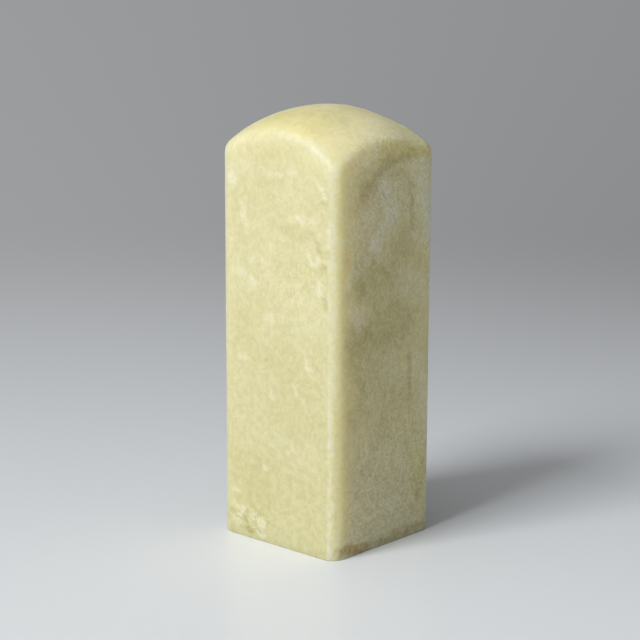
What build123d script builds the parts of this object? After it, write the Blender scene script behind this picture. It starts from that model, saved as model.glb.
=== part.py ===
from build123d import *
from math import hypot
import os

# A hand-held seal, cut from one block of soft, waxy, yellow-green stone, in millimetres.
# It is a square post with a domed top to hold, rounded long edges,
# and a printing face cut in relief on its underside.
# The origin is the middle of the printing face, and +Z runs up to the top of the dome.
# The faces towards -Y and +X are the two that the usual three-quarter view shows.

# The block
stone_width = 25.3
stone_depth = 24.6
stone_height = 70.6
long_edge_radius = 2.7

# The domed top: how far the block's corners lie below the top, and the soft shoulder
dome_drop = 7.5
shoulder_radius = 2.4

# The printing face: a plain rim, and strokes that stand up from the ground cut round them
base_edge_break = 0.25
rim_width = 1.5
cut_depth = 1.0
cut_draft_degrees = 8
stroke_width = 1.2

# The square spiral that fills a quarter of the printing face, in steps from its outer corner.
# It is a common fret, and stands where an owner's seal has a name.
spiral_path_steps = [(3, 3), (0, 3), (0, 0), (3, 0), (3, 2), (1, 2), (1, 1), (2, 1)]
spiral_reach_steps = 3
spirals_across = 2

# How far a cutting shape runs past what it cuts
cutter_overrun = 2.0


def plan_outline():
    """The block's cross-section: a rectangle with its four corners rounded."""
    return RectangleRounded(stone_width, stone_depth, long_edge_radius)


def dome_ball():
    """The ball whose surface is the dome.

    It passes through the top of the stone and, dome_drop below it, through the corners that
    the block would have without its rounding. Its poles point sideways, off the stone.
    """
    corner_reach = hypot(stone_width, stone_depth) / 2
    dome_radius = (corner_reach**2 + dome_drop**2) / (2 * dome_drop)
    centre = (0, 0, stone_height - dome_radius)
    return Pos(*centre) * Sphere(dome_radius, rotation=(90, 0, 0))


def domed_block():
    """The block with its top ground to a dome and the shoulder all round it softened."""
    block = extrude(plan_outline(), amount=stone_height + cutter_overrun)
    above_corners = Pos(0, 0, stone_height - dome_drop) * Box(
        stone_width + cutter_overrun,
        stone_depth + cutter_overrun,
        dome_drop + 2 * cutter_overrun,
        align=(Align.CENTER, Align.CENTER, Align.MIN),
    )
    block -= above_corners - dome_ball()
    dome = block.faces().sort_by(Axis.Z)[-1]
    return fillet(dome.edges(), shoulder_radius)


def break_base_edge(block):
    """Takes the knife edge off the rim of the underside, as a few strokes on the lapping plate do."""
    underside = block.faces().sort_by(Axis.Z)[0]
    return chamfer(underside.edges(), base_edge_break)


def stroke_pitch(field_side):
    """Step from one stroke to the next that spreads the spirals evenly over a side of the field.

    Across a side stand the spirals, with the same gap between strokes, spirals and rim.
    """
    strokes = spirals_across * (spiral_reach_steps + 1)
    return (field_side + stroke_width) / (strokes + 1)


def spiral(pitch_x, pitch_y):
    """One square spiral of strokes, in the quarter of the face towards +X and +Y."""
    stops = [((0.5 + i) * pitch_x, (0.5 + j) * pitch_y) for i, j in spiral_path_steps]
    strokes = Sketch()
    for (x0, y0), (x1, y1) in zip(stops, stops[1:]):
        bar = Rectangle(abs(x1 - x0) + stroke_width, abs(y1 - y0) + stroke_width)
        strokes += Pos((x0 + x1) / 2, (y0 + y1) / 2) * bar
    return strokes


def cut_ground():
    """What the graver takes out: the field inside the rim, less the strokes, with sloping sides."""
    field_width = stone_width - 2 * rim_width
    field_depth = stone_depth - 2 * rim_width
    field_corner_radius = long_edge_radius - rim_width
    ground = RectangleRounded(field_width, field_depth, field_corner_radius)
    quarter = spiral(stroke_pitch(field_width), stroke_pitch(field_depth))
    half = quarter + mirror(quarter, about=Plane.YZ)
    ground -= half + mirror(half, about=Plane.XZ)
    return extrude(ground, amount=cut_depth, taper=cut_draft_degrees)


def seal_stone():
    """The whole seal. The real one is a single stone, so it is a single solid."""
    return break_base_edge(domed_block()) - cut_ground()


os.makedirs("parts", exist_ok=True)
stone = seal_stone().solid()
stone.label = "seal_stone"
export_step(stone, "parts/seal_stone.step")
print("seal_stone volume", round(stone.volume), "mm3, valid", stone.is_valid)
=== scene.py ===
"""The looks of a hand-held stone seal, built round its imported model, in metres.

The seal is one block of soft, waxy, yellow-green stone: a square post with rounded long edges
and a domed top, standing on a printing face that is cut in relief.
"""

import logging
import math
from dataclasses import dataclass
from enum import Enum
from typing import Iterable, Sequence

import bmesh
import bpy
import numpy as np
from mathutils import Matrix, Vector, noise


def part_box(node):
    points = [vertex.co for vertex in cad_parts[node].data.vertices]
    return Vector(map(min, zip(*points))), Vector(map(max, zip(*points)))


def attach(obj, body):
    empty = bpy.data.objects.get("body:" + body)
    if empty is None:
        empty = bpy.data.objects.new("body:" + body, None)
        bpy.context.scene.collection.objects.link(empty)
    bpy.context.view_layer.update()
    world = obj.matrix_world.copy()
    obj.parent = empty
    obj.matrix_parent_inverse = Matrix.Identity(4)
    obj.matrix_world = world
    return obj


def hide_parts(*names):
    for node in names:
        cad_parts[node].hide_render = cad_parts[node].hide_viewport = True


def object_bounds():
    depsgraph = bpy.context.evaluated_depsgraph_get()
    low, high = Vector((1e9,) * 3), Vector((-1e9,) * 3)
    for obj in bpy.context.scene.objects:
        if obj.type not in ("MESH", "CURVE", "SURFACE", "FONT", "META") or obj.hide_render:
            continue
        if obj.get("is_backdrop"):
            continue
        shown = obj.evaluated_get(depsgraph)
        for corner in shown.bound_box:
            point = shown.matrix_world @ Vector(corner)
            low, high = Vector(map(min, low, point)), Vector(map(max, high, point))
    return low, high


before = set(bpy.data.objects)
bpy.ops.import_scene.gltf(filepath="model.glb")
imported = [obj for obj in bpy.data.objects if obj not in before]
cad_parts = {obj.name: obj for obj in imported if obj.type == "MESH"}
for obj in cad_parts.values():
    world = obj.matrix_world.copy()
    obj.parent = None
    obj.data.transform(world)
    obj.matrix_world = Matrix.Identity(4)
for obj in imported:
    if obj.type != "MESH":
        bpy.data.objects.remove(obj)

MM = 0.001
CAD_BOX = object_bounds()

# Fixes the noise that bends the marks and the strokes, so that every run gives the same stone
NOISE_SEED = 1

# Heights and distances are compared with this much to spare for rounding errors
SLACK = 1.01
STONE_REFRACTION = 1.54
NOISE_MIDDLE = (0.5, 0.5, 0.5)

Pair = tuple[float, float]
Triple = tuple[float, float, float]
Colour = tuple[float, float, float, float]
Socket = bpy.types.NodeSocket

# The lowest and highest value that go in, and what comes out at each of the two
Fade = tuple[float, float, float, float]

log = logging.getLogger("seal")


def clamp(value: float, low: float, high: float) -> float:
    """The value, held between low and high."""
    return max(low, min(high, value))


def ease(share: float) -> float:
    """A smooth step from 0 to 1 as share goes from 0 to 1."""
    held = clamp(share, 0.0, 1.0)
    return held * held * (3.0 - 2.0 * held)


def ramp(values: np.ndarray, start: float, reach: float) -> np.ndarray:
    """An even step from 0 at start to 1 at start + reach, for each of many values."""
    return np.clip((values - start) / reach, 0.0, 1.0)


def climb(edge: bmesh.types.BMEdge) -> float:
    """How much higher one end of an edge is than the other."""
    return abs(edge.verts[0].co.z - edge.verts[1].co.z)


def round_edges(
    bm: bmesh.types.BMesh, edges: Iterable[bmesh.types.BMEdge], offset: float, segments: int
) -> None:
    """Rounds edges of a mesh to an arc of a circle.

    Args:
        bm: The mesh.
        edges: The edges.
        offset: How far from the edge the rounding starts on each side.
        segments: How many flats make up the arc.
    """
    bmesh.ops.bevel(
        bm,
        geom=list(edges),
        offset=offset,
        offset_type="OFFSET",
        segments=segments,
        profile=0.5,
        affect="EDGES",
        material=-1,
    )


def mesh_from(bm: bmesh.types.BMesh, name: str) -> bpy.types.Mesh:
    """Turns a bmesh, which is freed, into a mesh."""
    mesh = bpy.data.meshes.new(name)
    bm.to_mesh(mesh)
    bm.free()
    return mesh


def put_in_scene(name: str, data: bpy.types.ID) -> bpy.types.Object:
    """Makes an object of a mesh, lamp or camera and links it to the scene."""
    item = bpy.data.objects.new(name, data)
    bpy.context.scene.collection.objects.link(item)
    return item


def direction(around: float, above: float) -> Vector:
    """The direction from the stone to something that stands round it.

    Args:
        around: Degrees round from the front, which is -Y, towards the right, which is +X.
        above: Degrees above the floor.

    Returns:
        A vector of length one.
    """
    turn, rise = math.radians(around), math.radians(above)
    level = math.cos(rise)
    return Vector((math.sin(turn) * level, -math.cos(turn) * level, math.sin(rise)))


def aim(back: Vector) -> Matrix:
    """The rotation of a lamp or camera whose back points along a vector and whose top is up."""
    return back.to_track_quat("Z", "Y").to_matrix().to_4x4()


@dataclass(frozen=True)
class StoneSizes:
    """Real sizes of the stone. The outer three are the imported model's, and the rest follow it."""

    width: float
    depth: float
    height: float
    long_edge_radius: float = 2.7 * MM
    dome_drop: float = 7.5 * MM
    sharp_shoulder: float = 2.2 * MM
    round_shoulder: float = 2.6 * MM
    crisp_shoulder: float = 1.5 * MM
    edge_break: float = 0.12 * MM
    rim_width: float = 1.5 * MM
    cut_depth: float = 1.0 * MM
    cut_draft: float = math.radians(8.0)
    stroke_width: float = 1.2 * MM

    @classmethod
    def of_node(cls, node: str) -> "StoneSizes":
        """Reads the outer sizes from a node of the frame.

        Args:
            node: The node's name.

        Returns:
            The sizes, with the outer three taken from the node's box.
        """
        low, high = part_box(node)
        across = high - low
        return cls(width=across.x, depth=across.y, height=high.z)

    @property
    def dome_radius(self) -> float:
        """Radius of the ball whose surface is the dome."""
        reach = math.hypot(self.width, self.depth) / 2
        return (reach**2 + self.dome_drop**2) / (2 * self.dome_drop)

    @property
    def dome_centre(self) -> Vector:
        """Centre of the ball whose surface is the dome."""
        return Vector((0.0, 0.0, self.height - self.dome_radius))

    @property
    def outline(self) -> "PlanOutline":
        """The cross-section of the post."""
        return PlanOutline(self.width, self.depth, self.long_edge_radius)

    @property
    def wear(self) -> "LongEdgeWear":
        """How the long edges are worn."""
        return LongEdgeWear(self.long_edge_radius)


@dataclass(frozen=True)
class PlanOutline:
    """The stone's cross-section: a rectangle with rounded corners, centred on the Z axis."""

    width: float
    depth: float
    corner_radius: float

    def nearest(self, point: Vector) -> tuple[Vector, Vector]:
        """Finds the place on the outline that is nearest to a point close inside it.

        Args:
            point: A point no further inside than the corner radius. Its height is ignored.

        Returns:
            The place on the outline, at height zero, and the outward direction there.
        """
        core_x = self.width / 2 - self.corner_radius
        core_y = self.depth / 2 - self.corner_radius
        core = Vector((clamp(point.x, -core_x, core_x), clamp(point.y, -core_y, core_y), 0.0))
        outward = (Vector((point.x, point.y, 0.0)) - core).normalized()
        return core + self.corner_radius * outward, outward

    def depth_inside(self, point: Vector) -> float:
        """How far inside the outline a point lies. Its height is ignored."""
        out_x = abs(point.x) - self.width / 2 + self.corner_radius
        out_y = abs(point.y) - self.depth / 2 + self.corner_radius
        if out_x > 0.0 and out_y > 0.0:
            return self.corner_radius - math.hypot(out_x, out_y)
        return self.corner_radius - max(out_x, out_y)


@dataclass(frozen=True)
class LongEdgeWear:
    """How the stone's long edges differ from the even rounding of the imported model.

    A narrow flat has been rubbed onto the edge towards -Y and +X, with a small rounding left
    between it and the wall towards +X. The other three are a little tighter than the even
    rounding.
    """

    rounding: float
    tighter_by: float = 0.1 * MM
    flat_start: float = 1.3 * MM
    flat_end: Pair = (0.45 * MM, 0.8 * MM)
    flat_share: Pair = (0.24, 0.51)
    flat_blend: float = 1.5
    small_rounding: float = 1.9 * MM

    def shift(self, outward: Vector) -> Vector:
        """How far a place on the even rounding has to be moved.

        Args:
            outward: The outward direction at that place.

        Returns:
            The move, level with the floor.
        """
        share = math.atan2(abs(outward.x), abs(outward.y)) / (math.pi / 2)
        if outward.x > 0.0 > outward.y:
            from_right, from_front = self.rubbed(share)
            even_right = self.rounding * (1.0 - abs(outward.x))
            even_front = self.rounding * (1.0 - abs(outward.y))
            return Vector((even_right - from_right, from_front - even_front, 0.0))
        most = self.tighter_by * (math.sqrt(2) - 1.0)
        return most * math.sin(math.pi * share) ** 2 * outward

    def rubbed(self, share: float) -> tuple[float, float]:
        """The rubbed edge's outline.

        Args:
            share: 0 at the wall towards -Y and 1 at the wall towards +X.

        Returns:
            How far in from the wall towards +X and from the wall towards -Y.
        """
        first, last = self.flat_share
        end_right, end_front = self.flat_end
        if share < first:
            blend = (1.0 - share / first) ** self.flat_blend
            return self.flat_start + (self.rounding - self.flat_start) * blend, 0.0
        if share < last:
            along = (share - first) / (last - first)
            return self.flat_start + (end_right - self.flat_start) * along, end_front * along
        turn = math.asin(1.0 - end_right / self.small_rounding)
        angle = turn + (math.pi / 2 - turn) * (share - last) / (1.0 - last)
        behind = end_front + self.small_rounding * (math.cos(turn) - math.cos(angle))
        return self.small_rounding * (1.0 - math.sin(angle)), behind


@dataclass(frozen=True)
class GroundSlope:
    """How much lower the dome's shoulder lies than an even ball would leave it.

    The dome was ground down further towards +X than towards -Y, and not at all towards the
    corners at the two ends of the three-quarter view.
    """

    sizes: StoneSizes
    right_drop: float = 1.3 * MM
    front_drop: float = 0.3 * MM
    steepness: float = 1.3
    sharpness: float = 4.0
    right_fade: Pair = (7.5 * MM, 13.0 * MM)
    front_fade: Pair = (3.0 * MM, 12.0 * MM)
    foot: float = 48.0 * MM
    head: float = 61.0 * MM

    def lower_by(self, point: Vector) -> float:
        """How far a point of the stone is to be lowered.

        Args:
            point: The point, as an even ball would leave it.

        Returns:
            The drop. Low down on the walls it fades to nothing.
        """
        right = clamp(2.0 * point.x / self.sizes.width, 0.0, 1.0) ** self.steepness
        front = clamp(-2.0 * point.y / self.sizes.depth, 0.0, 1.0) ** self.steepness
        right *= self.right_drop * (1.0 - self._share(point.y, self.right_fade))
        front *= self.front_drop * (1.0 - self._share(-point.x, self.front_fade))
        drop = (right**self.sharpness + front**self.sharpness) ** (1.0 / self.sharpness)
        return drop * self._share(point.z, (self.foot, self.head))

    @staticmethod
    def _share(value: float, ends: Pair) -> float:
        """A smooth step from 0 at the first end to 1 at the second."""
        return ease((value - ends[0]) / (ends[1] - ends[0]))


@dataclass
class DomedPost:
    """The outside of the stone: four walls, rounded long edges, soft shoulder and dome."""

    sizes: StoneSizes
    side_cells: int
    corner_segments: int = 12
    wall_rows: int = 150
    row_crowding: float = 1.15
    shoulder_rings: int = 7
    ring_step: float = 0.2 * MM
    edge_break_segments: int = 3
    front_change: float = 1.1
    crisp_fade_along: float = 6.0
    crisp_fade_back: float = 1.6

    def shoulder_radius(self, place: Vector) -> float:
        """How round the shoulder is at a place on the outline.

        The grinder left it roundest at the corner towards -X and -Y, and crisp along the wall
        towards +X.

        Args:
            place: A place on the outline.

        Returns:
            The radius of the ball that would roll along the shoulder there.
        """
        sizes = self.sizes
        along = 0.5 - place.x / sizes.width
        front = 0.5 - place.y / sizes.depth
        mean = (sizes.sharp_shoulder + sizes.round_shoulder) / 2
        play = sizes.round_shoulder - sizes.sharp_shoulder
        front_radius = sizes.sharp_shoulder + play * ease(self.front_change * along)
        radius = mean + (front_radius - mean) * ease(front)
        crispness = ease(1.0 - self.crisp_fade_along * along) * ease(self.crisp_fade_back * front)
        return radius + (sizes.crisp_shoulder - radius) * crispness

    def shoulder_point(self, place: Vector, outward: Vector, turn: float) -> Vector:
        """A point of the shoulder, which is where a ball rolls inside the wall and the dome.

        Args:
            place: The place on the outline below it.
            outward: The outward direction at that place.
            turn: 0 where the ball touches the wall, 1 where it touches the dome.

        Returns:
            The point.
        """
        radius = self.shoulder_radius(place)
        ball = place - radius * outward
        inner = self.sizes.dome_radius - radius
        ball.z = self.sizes.dome_centre.z + math.sqrt(inner**2 - ball.xy.length_squared)
        towards_dome = (ball - self.sizes.dome_centre).normalized()
        worn = (1.0 - turn) * self.sizes.wear.shift(outward)
        return ball + radius * outward.slerp(towards_dome, turn) + worn

    def dome_height(self, point: Vector) -> float:
        """Height of the dome above a point of the plan."""
        reach = self.sizes.dome_radius**2 - point.xy.length_squared
        return self.sizes.dome_centre.z + math.sqrt(reach)

    def build(self, bm: bmesh.types.BMesh) -> list[bmesh.types.BMEdge]:
        """Makes the outside of the stone in a mesh, with its underside left open.

        Args:
            bm: The mesh to build in.

        Returns:
            The edges round the open underside.
        """
        self._block(bm)
        self._ring_the_top(bm)
        underside = self._break_base_edge(bm)
        self._cut_rows(bm)
        self._shape_walls(bm)
        self._fill_dome(bm, self._shape_shoulder(bm))
        slope = GroundSlope(self.sizes)
        for vert in bm.verts:
            vert.co.z -= slope.lower_by(vert.co)
        return underside

    def _block(self, bm: bmesh.types.BMesh) -> None:
        """The square block, with its long edges rounded and its level edges divided."""
        sizes = self.sizes
        scale = Matrix.Diagonal((sizes.width, sizes.depth, sizes.height, 1.0))
        bmesh.ops.create_cube(bm, size=1.0, matrix=scale @ Matrix.Translation((0.0, 0.0, 0.5)))
        round_edges(bm, self._uprights(bm), sizes.long_edge_radius, self.corner_segments)
        across = 2 * sizes.long_edge_radius
        straight = [e for e in bm.edges if climb(e) < MM and e.calc_length() > across]
        cuts = self.side_cells - self.corner_segments - 1
        bmesh.ops.subdivide_edges(bm, edges=straight, cuts=cuts)

    def _uprights(self, bm: bmesh.types.BMesh) -> list[bmesh.types.BMEdge]:
        """The edges that run up most of the block."""
        return [e for e in bm.edges if climb(e) > self.sizes.height / 2]

    def _ring_the_top(self, bm: bmesh.types.BMesh) -> None:
        """Insets the flat top ring by ring, to bend the shoulder from, and opens its middle."""
        top = max(bm.faces, key=lambda f: f.calc_center_median().z)
        for _ in range(self.shoulder_rings):
            bmesh.ops.inset_region(bm, faces=[top], thickness=self.ring_step, use_even_offset=True)
        bmesh.ops.delete(bm, geom=[top], context="FACES_ONLY")

    def _break_base_edge(self, bm: bmesh.types.BMesh) -> list[bmesh.types.BMEdge]:
        """Rounds the edge round the underside a little and opens the underside.

        Returns:
            The edges round the opening.
        """
        base = min(bm.faces, key=lambda f: f.calc_center_median().z)
        round_edges(bm, base.edges, self.sizes.edge_break, self.edge_break_segments)
        base = min(bm.faces, key=lambda f: f.calc_center_median().z)
        opening = list(base.edges)
        bmesh.ops.delete(bm, geom=[base], context="FACES_ONLY")
        return opening

    def _cut_rows(self, bm: bmesh.types.BMesh) -> None:
        """Divides the walls into rows."""
        bmesh.ops.subdivide_edges(bm, edges=self._uprights(bm), cuts=self.wall_rows - 1)

    def _is_on_top(self, vert: bmesh.types.BMVert) -> bool:
        """Whether a vertex still lies on the flat top of the block."""
        return vert.co.z > self.sizes.height - self.sizes.edge_break / 2

    def _shape_walls(self, bm: bmesh.types.BMesh) -> None:
        """Wears the long edges, crowds the rows to the base and ends the walls at the shoulder."""
        foot = self.sizes.edge_break
        rise = self.sizes.height - foot
        for vert in bm.verts:
            if self._is_on_top(vert):
                continue
            share = (vert.co.z - foot) / rise
            place, outward = self.sizes.outline.nearest(vert.co)
            if share > 0.0:
                wall = self.shoulder_point(place, outward, 0.0).z - foot
                vert.co.z = foot + wall * share**self.row_crowding
            vert.co += self.sizes.wear.shift(outward)

    def _shape_shoulder(self, bm: bmesh.types.BMesh) -> dict[bmesh.types.BMVert, Vector]:
        """Bends the flat rings of the top over the shoulder.

        Args:
            bm: The mesh, with its walls shaped.

        Returns:
            The outward direction at each vertex of the innermost ring.
        """
        innermost = {}
        for vert in filter(self._is_on_top, bm.verts):
            place, outward = self.sizes.outline.nearest(vert.co)
            ring = round(self.sizes.outline.depth_inside(vert.co) / self.ring_step)
            vert.co = self.shoulder_point(place, outward, ring / self.shoulder_rings)
            if ring == self.shoulder_rings:
                innermost[vert] = outward
        return innermost

    def _fill_dome(self, bm: bmesh.types.BMesh, ring: dict[bmesh.types.BMVert, Vector]) -> None:
        """Fills the innermost ring with an even net and lifts the net onto the dome.

        Args:
            bm: The mesh to build in.
            ring: The outward direction at each vertex of the ring.
        """
        front_and_back = []
        for edge in bm.edges:
            if edge.is_boundary and edge.verts[0] in ring and edge.verts[1] in ring:
                outward = ring[edge.verts[0]] + ring[edge.verts[1]]
                if abs(outward.y) > abs(outward.x):
                    front_and_back.append(edge)
        made = bmesh.ops.grid_fill(bm, edges=front_and_back, use_interp_simple=True)
        for vert in {v for f in made["faces"] for v in f.verts}.difference(ring):
            vert.co.z = self.dome_height(vert.co)


@dataclass
class PrintingFace:
    """The underside: a flat rim round a field of square spirals that stand up from cut ground.

    The spirals are a common fret, four of them, mirrored about both middle lines.
    """

    sizes: StoneSizes
    spiral_steps: Sequence[tuple[int, int]] = (
        (3, 3), (0, 3), (0, 0), (3, 0), (3, 2), (1, 2), (1, 1), (2, 1),
    )
    spiral_reach: int = 3
    spirals_across: int = 2
    knife_wander: float = 0.07 * MM
    knife_wander_length: float = 2.2 * MM
    ground_roughness: float = 0.09 * MM
    ground_grain: float = 0.8 * MM
    rim_bands: int = 3
    still_rim: float = 0.6

    @property
    def field_width(self) -> float:
        """Width of the field inside the rim."""
        return self.sizes.width - 2 * self.sizes.rim_width

    @property
    def field_depth(self) -> float:
        """Depth of the field inside the rim."""
        return self.sizes.depth - 2 * self.sizes.rim_width

    def pitch(self, side: float) -> float:
        """Step from one stroke to the next along a side of the field."""
        strokes = self.spirals_across * (self.spiral_reach + 1)
        return (side + self.sizes.stroke_width) / (strokes + 1)

    def lines(self, side: float) -> list[float]:
        """Places of the net's lines across the field: edges, feet and middles of every stroke.

        Args:
            side: Width or depth of the field.

        Returns:
            The places in order, from one rim to the other.
        """
        half_stroke = self.sizes.stroke_width / 2
        foot = self.sizes.cut_depth * math.tan(self.sizes.cut_draft)
        pitch = self.pitch(side)
        half = [0.0]
        for number in range(self.spiral_reach + 1):
            middle = (number + 0.5) * pitch
            edges = (middle - half_stroke, middle + half_stroke)
            half += [edges[0] - foot, edges[0], middle]
            half += [edges[1], edges[1] + foot, middle + pitch / 2]
        half += [side / 2 - foot, side / 2]
        return [-place for place in reversed(half[1:])] + half

    @property
    def side_cells(self) -> int:
        """How many cells the net has along each side."""
        return len(self.lines(self.field_width)) - 1

    def is_stroke(self, x: float, y: float) -> bool:
        """Whether a point of the field lies on a stroke."""
        half_stroke = self.sizes.stroke_width / 2
        across = abs(x) / self.pitch(self.field_width) - 0.5
        along = abs(y) / self.pitch(self.field_depth) - 0.5
        slack_x = half_stroke / self.pitch(self.field_width)
        slack_y = half_stroke / self.pitch(self.field_depth)
        for (i0, j0), (i1, j1) in zip(self.spiral_steps, self.spiral_steps[1:]):
            in_x = min(i0, i1) - slack_x <= across <= max(i0, i1) + slack_x
            in_y = min(j0, j1) - slack_y <= along <= max(j0, j1) + slack_y
            if in_x and in_y:
                return True
        return False

    def build(self, bm: bmesh.types.BMesh, opening: Sequence[bmesh.types.BMEdge]) -> None:
        """Makes the face in a mesh and joins it to the opening in the underside.

        Args:
            bm: The mesh to build in.
            opening: The edges round the opening.
        """
        rim_height = self.sizes.rim_width
        border = self._net(bm, rim_height)
        spokes = bmesh.ops.bridge_loops(bm, edges=border + list(opening))["edges"]
        bmesh.ops.subdivide_edges(bm, edges=spokes, cuts=self.rim_bands - 1, use_grid_fill=True)
        low = [v for v in bm.verts if v.co.z < SLACK * rim_height]
        face = [v for v in low if self._is_inside_edge_break(v.co)]
        for vert in face:
            vert.co.z = 0.0
        ground = [v for v in face if not any(self._stays_up(f) for f in v.link_faces)]
        for vert in ground:
            vert.co.z = self.sizes.cut_depth
            for cut in vert.link_faces:
                cut.material_index = 1
        self._wander(face)

    def _net(self, bm: bmesh.types.BMesh, height: float) -> list[bmesh.types.BMEdge]:
        """Makes a flat net over the field whose lines run along the strokes' edges.

        Args:
            bm: The mesh to build in.
            height: How far above the underside to hold the net, so that its border can be
                bridged to the opening without a twist.

        Returns:
            The edges of the net's border.
        """
        cells = self.side_cells
        net = bmesh.ops.create_grid(bm, x_segments=cells, y_segments=cells, size=0.5)["verts"]
        lines_x, lines_y = self.lines(self.field_width), self.lines(self.field_depth)
        for vert in net:
            column = round((vert.co.x + 0.5) * cells)
            row = round((vert.co.y + 0.5) * cells)
            x, y = self._round_corner(lines_x[column], lines_y[row])
            vert.co = Vector((x, y, height))
        corners = set(net)
        return [e for e in bm.edges if e.is_boundary and corners.issuperset(e.verts)]

    def _round_corner(self, x: float, y: float) -> tuple[float, float]:
        """Draws a place near a corner of the field in, to the rounding that keeps the rim even."""
        radius = self.sizes.long_edge_radius - self.sizes.rim_width
        core_x = self.field_width / 2 - radius
        core_y = self.field_depth / 2 - radius
        out_x, out_y = abs(x) - core_x, abs(y) - core_y
        if out_x <= 0.0 or out_y <= 0.0:
            return x, y
        draw = max(out_x, out_y) / math.hypot(out_x, out_y)
        return math.copysign(core_x + out_x * draw, x), math.copysign(core_y + out_y * draw, y)

    def _is_inside_edge_break(self, point: Vector) -> bool:
        """Whether a point lies further in than the rounded edge of the underside."""
        return self.sizes.outline.depth_inside(point) > SLACK * self.sizes.edge_break

    def _stays_up(self, face: bmesh.types.BMFace) -> bool:
        """Whether a face of the underside belongs to the rim or to a stroke."""
        centre = face.calc_center_median()
        in_rim = self.sizes.outline.depth_inside(centre) < self.sizes.rim_width
        return in_rim or self.is_stroke(centre.x, centre.y)

    def _wander(self, face: Iterable[bmesh.types.BMVert]) -> None:
        """Gives the strokes the unevenness of a hand-held knife, and the ground its tool marks."""
        for vert in face:
            inside = self.sizes.outline.depth_inside(vert.co) / self.sizes.rim_width
            reach = self.knife_wander * ease(inside - self.still_rim)
            sway = reach * noise.noise_vector(vert.co / self.knife_wander_length)
            vert.co.xy += sway.xy
            if vert.co.z > 0.0:
                vert.co.z += self.ground_roughness * noise.noise(vert.co / self.ground_grain)


class Wall(Enum):
    """The sides of the stone that marks are placed on."""

    FRONT = "towards -Y"
    RIGHT = "towards +X"
    EDGE = "on the flat rubbed onto the edge between those two"
    DOME = "on top"


class Mark(Enum):
    """What can be seen in or on the stone, and the light and shade painted onto it. The value is
    the name of its attribute on the mesh.
    """

    CREAM = "cream"
    OLIVE = "olive"
    BROWN = "brown"
    # Painted shade: a duller, whiter tone that dims the highlight along the ridge of the front
    # shoulder
    RIDGE_PAINTED_SHADE = "rubbed"
    # Painted light: a paler, warmer colour laid where the stone should look more brightly lit
    GLOW = "painted_glow"
    # Partly a whitish grain in the stone, and partly painted light that makes some places paler
    VEIL_AND_PAINTED_LIGHT = "veil_and_painted_light"
    GRIT = "grit"

    @property
    def socket(self) -> str:
        """The name of its input on the stone's node group."""
        return self.name.title()


@dataclass(frozen=True)
class Streak:
    """One mark in the stone, drawn as a soft stroke between two places on a wall.

    A place is (along, up) in millimetres: along X and up on the front wall, along Y and up on
    the right wall, across from its middle and up on the edge, and X and Y on the dome.
    """

    start: Pair
    end: Pair
    radius: float
    strength: float
    softness: float = 0.6


FRONT_CREAM = (
    Streak((-9.9, 59.1), (-9.2, 58.7), 0.9, 0.6),
    Streak((-4.0, 60.4), (0.0, 60.3), 0.3, 0.35),
    Streak((0.0, 60.3), (5.0, 61.3), 0.32, 0.6),
    Streak((9.4, 59.3), (10.4, 57.8), 0.45, 0.65),
    Streak((-7.2, 55.6), (-6.4, 51.6), 0.6, 0.5),
    Streak((5.0, 54.0), (5.6, 53.9), 0.6, 1.0),
    Streak((3.0, 53.6), (4.8, 53.8), 0.35, 0.4),
    Streak((6.0, 54.0), (9.3, 54.3), 0.45, 0.5),
    Streak((11.4, 52.6), (11.8, 50.6), 0.6, 0.6),
    Streak((6.9, 48.6), (7.6, 47.4), 0.38, 0.7),
    Streak((7.6, 47.4), (8.9, 47.0), 0.38, 0.8),
    Streak((8.9, 47.0), (9.4, 48.2), 0.38, 0.8),
    Streak((9.3, 43.8), (9.4, 42.8), 0.6, 0.7),
    Streak((12.0, 46.5), (12.2, 45.0), 0.6, 0.4),
    Streak((-8.8, 44.5), (-7.0, 44.0), 0.6, 0.5),
    Streak((-5.3, 43.1), (-5.0, 42.9), 0.7, 0.8),
    Streak((-5.6, 46.0), (-3.5, 46.8), 0.5, 0.5),
    Streak((-2.8, 46.8), (-1.0, 45.8), 0.5, 0.5),
    Streak((5.0, 43.5), (5.2, 41.0), 0.4, 0.5),
    Streak((-1.2, 49.4), (-1.0, 48.6), 0.35, 0.5),
    Streak((-7.9, 30.3), (-6.7, 30.2), 0.6, 0.55),
    Streak((6.5, 32.0), (7.0, 30.6), 0.38, 0.6),
    Streak((7.0, 30.6), (8.0, 30.1), 0.38, 0.6),
    Streak((-1.7, 37.3), (-1.2, 37.3), 0.7, 0.5),
    Streak((4.2, 26.6), (4.4, 26.2), 0.5, 0.5),
    Streak((-1.1, 26.0), (-0.8, 24.5), 0.35, 0.5),
    Streak((-2.3, 12.7), (-2.1, 12.6), 0.5, 0.6),
    Streak((-9.9, 7.8), (-8.6, 7.6), 0.45, 0.5),
    Streak((-8.9, 4.6), (-6.9, 4.9), 0.38, 0.5),
    Streak((-8.3, 3.6), (-7.4, 4.0), 0.42, 0.5),
    Streak((-4.8, 4.4), (-5.4, 3.6), 0.45, 0.5),
    Streak((-3.6, 3.4), (-3.0, 2.4), 0.6, 0.65),
    Streak((-9.6, 2.6), (-8.2, 2.2), 0.4, 0.5),
    Streak((-4.6, 1.2), (-2.4, 0.9), 0.35, 0.5),
)

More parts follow.
